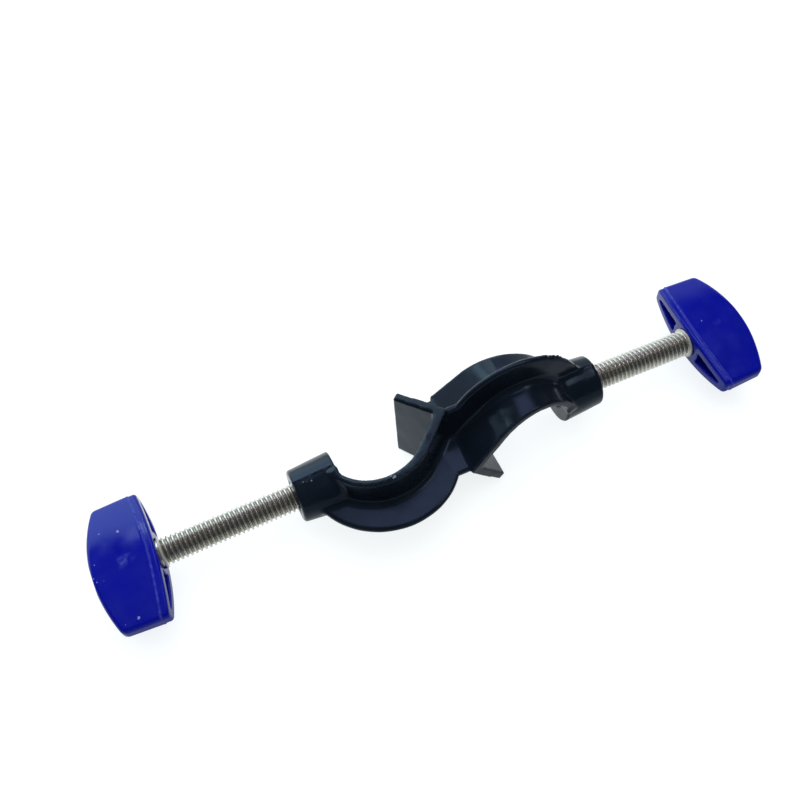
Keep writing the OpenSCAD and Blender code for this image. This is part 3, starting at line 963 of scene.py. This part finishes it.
class CLAMP_OT_casting(bpy.types.Operator):
    """Build the enamelled casting"""

    bl_idname = "clamp.casting"
    bl_label = "Casting"

    def execute(self, context):
        s = context.scene.clamp_casting
        distance = casting_distance(s)
        low, high = [np.array(corner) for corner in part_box("casting")]
        margin = 2 * s.mesh_step
        points, faces = mesh_from_distance(distance, low - margin, high + margin, s.mesh_step)
        mesh = smooth_mesh("casting_enamelled", np.clip(points, low, high), faces)
        keep_value(mesh, "edge", edge_share(distance, points, EDGE_REACH))
        keep_value(mesh, "mark", mark_share(points, MARKS["casting"]))
        piece_from("casting_enamelled", mesh, enamel_material(s), "casting", ["casting"])
        return {"FINISHED"}


class CLAMP_OT_screws(bpy.types.Operator):
    """Build both thumb screws; each turns with its knob"""

    bl_idname = "clamp.screws"
    bl_label = "Screws"

    def execute(self, context):
        s = context.scene.clamp_screw
        material = zinc_material(s)
        tree = thread_tree(s, material)
        for side, start in (("left", -s.left_sunk), ("right", FACE_GAP)):
            end = start + s.shoulder_l
            plain = turned_mesh(
                "shoulder",
                [
                    (0, -s.shank_l),
                    (s.crest_r - SCREW_EDGE, -s.shank_l),
                    (s.crest_r, SCREW_EDGE - s.shank_l),
                    (s.crest_r, start),
                    (s.shoulder_r - SCREW_EDGE, start),
                    (s.shoulder_r, start + SCREW_EDGE),
                    (s.shoulder_r, end - SCREW_EDGE),
                    (s.shoulder_r - SCREW_EDGE, end),
                    (0, end),
                ],
                s.sides,
            )
            thread = thread_mesh(s, tree, start + s.shoulder_l / 2)
            mesh = joined(side + "_thumb_screw", plain, thread)
            places = vertex_places(mesh)
            # How deep each point lies in the thread, which the painted shade and grime follow.
            keep_value(mesh, "depth", thread_depth(s, places))
            keep_value(mesh, "collar", np.hypot(places[:, 0], places[:, 1]) > s.crest_r + SCREW_EDGE / 2)
            quarter = math.pi / 2 if side == "left" else -math.pi / 2
            mesh.transform(screw_frame(side) @ turned(quarter, "Y"))
            piece_from(side + "_thumb_screw", mesh, material, side + "_knob", [side + "_screw"])
        return {"FINISHED"}


class CLAMP_OT_knobs(bpy.types.Operator):
    """Build both moulded knobs"""

    bl_idname = "clamp.knobs"
    bl_label = "Knobs"

    def execute(self, context):
        s = context.scene.clamp_knob
        material = plastic_material(s)
        for side, turn, askew, quarter in (
            ("left", s.left_turn, (s.left_cant, s.left_tilt, s.left_lean), -math.pi / 2),
            ("right", s.right_turn, (s.right_cant, 0, 0), math.pi / 2),
        ):
            distance = knob_distance(s, askew)
            cant, tilt = abs(askew[0]), abs(askew[1])
            high = np.array((s.half_l, s.half_t, s.depth)) + 4 * s.mesh_step
            high += (s.depth * math.sin(cant), s.depth * math.sin(tilt), s.half_t * math.sin(tilt))
            low = np.array((-high[0], -high[1], -4 * s.mesh_step - s.half_l * math.sin(cant)))
            low[2] -= s.half_t * math.sin(tilt)
            points, faces = mesh_from_distance(distance, low, high, s.mesh_step)
            edge = edge_share(distance, points, EDGE_REACH)
            place = screw_frame(side) @ turned(turn - math.pi / 2, "X") @ turned(quarter, "Y")
            name = side + "_moulded_knob"
            low, high = [np.array(corner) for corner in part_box(side + "_knob")]
            room = np.array((0, 0, SKEW_ROOM))
            inside = np.clip(points_moved(place, points), low - room, high + room)
            mesh = smooth_mesh(name, inside, faces)
            keep_value(mesh, "edge", edge)
            keep_value(mesh, "parting", parting_share(s, askew, points))
            keep_value(mesh, "mark", mark_share(inside, MARKS[side]))
            piece_from(name, mesh, material, side + "_knob", [side + "_knob"])
        return {"FINISHED"}


class CLAMP_OT_stage(bpy.types.Operator):
    """Add the floor, the lamps and the camera"""

    bl_idname = "clamp.stage"
    bl_label = "Stage"

    def execute(self, context):
        s = context.scene.clamp_stage
        scene = context.scene
        add_floor(s, cad_box[0].z)
        for name, lamp in LAMPS.items():
            add_lamp(name, getattr(s, name), **lamp)
        scene.world = room_world(s)
        camera = bpy.data.cameras.new("camera")
        camera.lens = s.lens
        camera.shift_x, camera.shift_y = s.shift
        camera.clip_start = 0.01
        camera.clip_end = 10
        holder = bpy.data.objects.new("camera", camera)
        holder.location = s.place
        holder.rotation_euler = Euler(s.turn, "XYZ")
        scene.collection.objects.link(holder)
        scene.camera = holder
        scene.view_settings.view_transform = "Standard"
        return {"FINISHED"}


def between(t, value, low, high, soft):
    """1 from low to high, falling to 0 over a soft edge at both ends."""
    return t.math("MULTIPLY", ramp(t, value, low - soft, low), ramp(t, value, high + soft, high))


def lobe(t, direction, centre, outer, inner):
    """1 within an angle of a direction, falling to 0 at a wider one."""
    towards = t.add("ShaderNodeVectorMath", {0: direction, 1: centre}, operation="DOT_PRODUCT")
    sides = [math.cos(math.radians(a)) for a in (outer, inner)]
    return ramp(t, towards.outputs["Value"], *sides)


def room_world(s):
    """Dim room, white to the camera, with a pale wall behind the clamp and a patch of light above it."""
    world = bpy.data.worlds.new("room")
    world.use_nodes = True
    t = Tree(world.node_tree)
    direction = t.add("ShaderNodeTexCoord").outputs["Generated"]
    parts = t.add("ShaderNodeSeparateXYZ", {0: direction}).outputs
    azimuth = t.math("ARCTAN2", parts["X"], parts["Y"])
    lift = t.math("ARCTAN2", parts["Z"], parts["Y"])
    soft = math.radians(WALL_SOFT)
    wall = t.math(
        "MULTIPLY",
        between(t, azimuth, *(math.radians(a) for a in WALL_AZIMUTH), soft),
        between(t, lift, *(math.radians(a) for a in WALL_LIFT), soft),
    )
    bright = mixed(t, lobe(t, direction, WINDOW_FROM, *WINDOW_SPREAD), s.wall, s.window)
    lit = mixed(t, wall, s.room, bright)
    lit = mixed(t, lobe(t, direction, GLOW_FROM, *GLOW_SPREAD), lit, s.glow)
    seen = t.add("ShaderNodeLightPath").outputs["Is Camera Ray"]
    t.links.new(mixed(t, seen, lit, (1, 1, 1)), world.node_tree.nodes["Background"].inputs["Color"])
    return world


def add_floor(s, height):
    """Floor that keeps the shadow: white to the camera; in reflections, painted shade in front of the clamp
    and painted light behind it.
    """
    half = s.floor_half
    mesh = bpy.data.meshes.new("floor")
    corners = [(-half, -half, height), (half, -half, height), (half, half, height), (-half, half, height)]
    mesh.from_pydata(corners, [], [(0, 1, 2, 3)])
    material, t, shader = new_material("floor", s.floor_colour, Roughness=0.9)
    seen = t.add("ShaderNodeLightPath").outputs
    straight = t.math("MAXIMUM", seen["Is Camera Ray"], seen["Is Transmission Ray"])
    place = t.add("ShaderNodeSeparateXYZ", {0: t.add("ShaderNodeTexCoord").outputs["Object"]}).outputs
    # Painted shade in front of the clamp and painted light behind it, seen only in reflections.
    mirrored = ramp(t, place["Y"], *FLOOR_LIT_FROM, *FLOOR_MIRRORED)
    glow = t.math("MULTIPLY", straight, FLOOR_GLOW)
    glow = t.math("ADD", glow, t.math("MULTIPLY", seen["Is Glossy Ray"], mirrored))
    shader.inputs["Emission Color"].default_value = (0.96, 0.99, 1, 1)
    t.links.new(glow, shader.inputs["Emission Strength"])
    t.links.new(mixed(t, seen["Is Diffuse Ray"], s.floor_colour, s.floor_pale), shader.inputs["Base Color"])
    mesh.materials.append(material)
    floor = bpy.data.objects.new("floor", mesh)
    bpy.context.scene.collection.objects.link(floor)


def add_lamp(name, watts, size, place, target, tint, mirrored=True):
    """Rectangular lamp that faces a point."""
    lamp = bpy.data.lights.new(name, "AREA")
    lamp.shape = "RECTANGLE"
    lamp.size, lamp.size_y = size
    lamp.energy = watts
    lamp.color = tint
    holder = bpy.data.objects.new(name, lamp)
    holder.location = place
    holder.rotation_euler = (Vector(target) - Vector(place)).to_track_quat("-Z", "Y").to_euler()
    holder.visible_glossy = mirrored
    bpy.context.scene.collection.objects.link(holder)


class CLAMP_PT_panel(bpy.types.Panel):
    """Buttons for each piece of the clamp"""

    bl_label = "Boss head clamp"
    bl_idname = "CLAMP_PT_panel"
    bl_space_type = "VIEW_3D"
    bl_region_type = "UI"
    bl_category = "Clamp"

    def draw(self, context):
        for operator in OPERATORS:
            self.layout.operator(operator.bl_idname)
        for settings in SETTINGS.values():
            group = getattr(context.scene, settings)
            box = self.layout.box()
            for name in group.__annotations__:
                box.prop(group, name)


SETTINGS = {
    CastingSettings: "clamp_casting",
    ScrewSettings: "clamp_screw",
    KnobSettings: "clamp_knob",
    StageSettings: "clamp_stage",
}
OPERATORS = (CLAMP_OT_casting, CLAMP_OT_screws, CLAMP_OT_knobs, CLAMP_OT_stage)


def register():
    for settings, name in SETTINGS.items():
        bpy.utils.register_class(settings)
        setattr(bpy.types.Scene, name, PointerProperty(type=settings))
    for operator in OPERATORS:
        bpy.utils.register_class(operator)
    bpy.utils.register_class(CLAMP_PT_panel)


def unregister():
    bpy.utils.unregister_class(CLAMP_PT_panel)
    for operator in reversed(OPERATORS):
        bpy.utils.unregister_class(operator)
    for settings, name in SETTINGS.items():
        delattr(bpy.types.Scene, name)
        bpy.utils.unregister_class(settings)


def main():
    register()
    bpy.ops.clamp.casting()
    bpy.ops.clamp.screws()
    bpy.ops.clamp.knobs()
    bpy.ops.clamp.stage()


if __name__ == "__main__":
    main()
